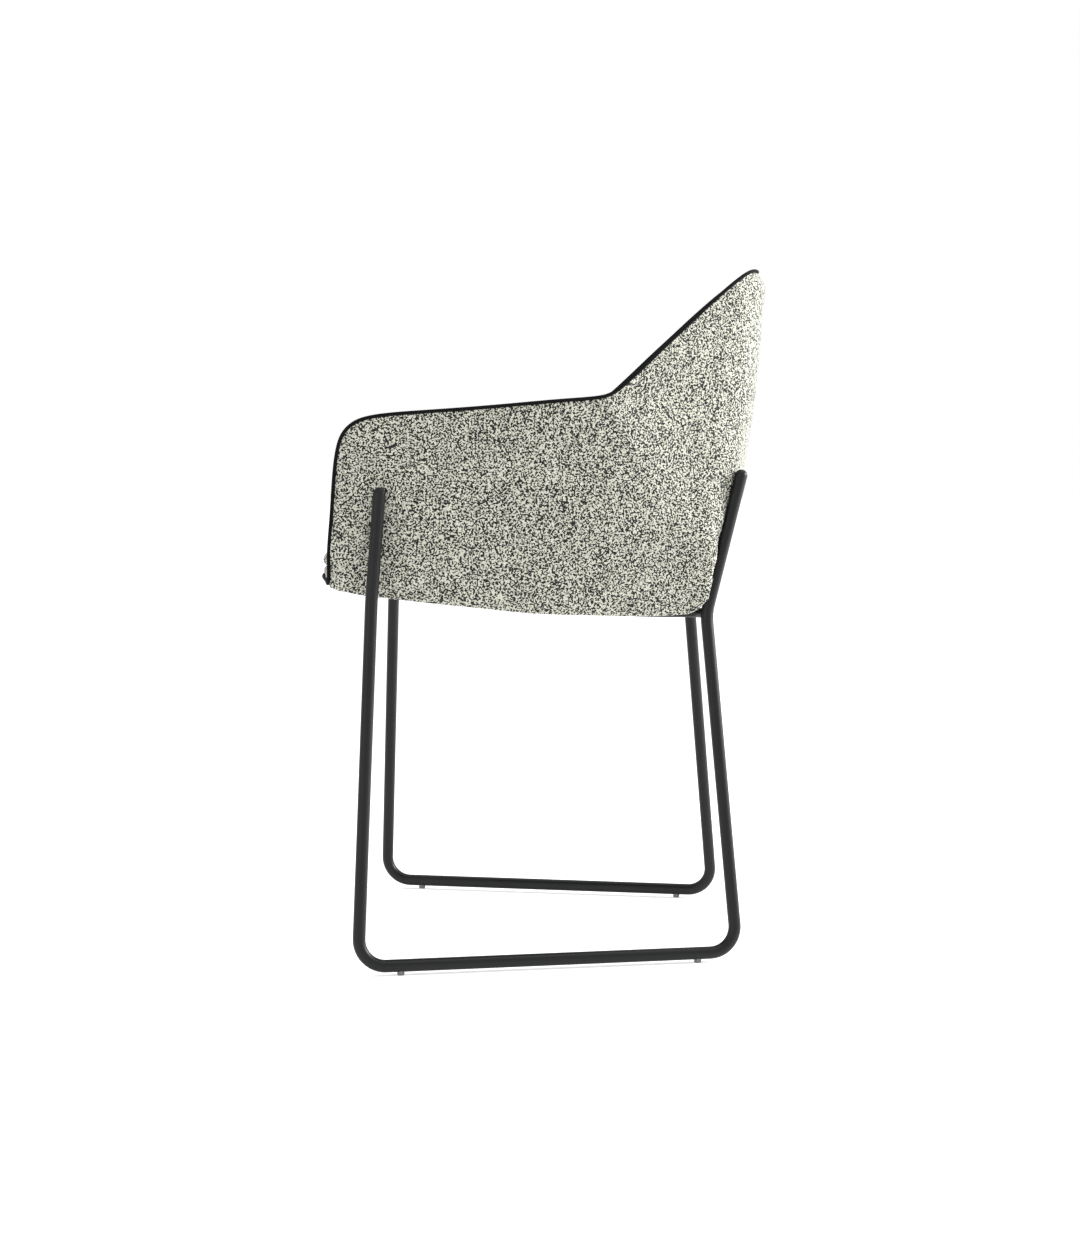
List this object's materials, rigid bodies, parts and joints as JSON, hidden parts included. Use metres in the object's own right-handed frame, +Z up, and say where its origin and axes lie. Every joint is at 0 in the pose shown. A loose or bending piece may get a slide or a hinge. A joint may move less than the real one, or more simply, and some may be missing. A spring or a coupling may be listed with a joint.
{
  "type": "sled base visitor chair",
  "caption": "Upholstered tub armchair with wings sloping up to a low back, contrast edge piping, and a bent round tube sled frame on each side.",
  "frame": {"origin": "on the floor, under the middle of the overall bounding box", "axes": "+Z up, the sitter faces -Y, +X is the sitter's left; left and right are mirror images across X = 0"},
  "size_m": [0.6316, 0.5183, 0.7761],
  "materials": {
    "frame_paint": "satin dark grey powder coat",
    "fastener_steel": "zinc plated",
    "glide_plastic": "matte mid grey",
    "plywood": "raw birch plywood",
    "speckled_fabric": "speckled ivory and near-black woven wool",
    "piping": "matte near-black sewn piping",
    "lining": "thin black lining cloth"
  },
  "bodies": {
    "root": {"back_foam": "speckled_fabric", "back_outer_cover": "speckled_fabric", "back_panel": "plywood", "bracket_screws": "fastener_steel", "corner_brackets": "fastener_steel", "edge_piping": "piping", "fixing_bosses": "frame_paint", "frame_bolt_washers": "fastener_steel", "frame_bolts": "fastener_steel", "front_border": "speckled_fabric", "front_left_glide": "glide_plastic", "front_right_glide": "glide_plastic", "left_arm_foam": "speckled_fabric", "left_arm_panel": "plywood", "left_outer_cover": "speckled_fabric", "left_side_frame": "frame_paint", "rear_cross_tube": "frame_paint", "rear_left_glide": "glide_plastic", "rear_right_glide": "glide_plastic", "right_arm_foam": "speckled_fabric", "right_arm_panel": "plywood", "right_outer_cover": "speckled_fabric", "right_side_frame": "frame_paint", "seat_board": "plywood", "seat_bolts": "fastener_steel", "seat_cushion": "speckled_fabric", "seat_mount_plates": "frame_paint", "seat_tee_nuts": "fastener_steel", "tube_end_domes": "frame_paint", "underside_cover": "lining"}
  },
  "joints": []
}
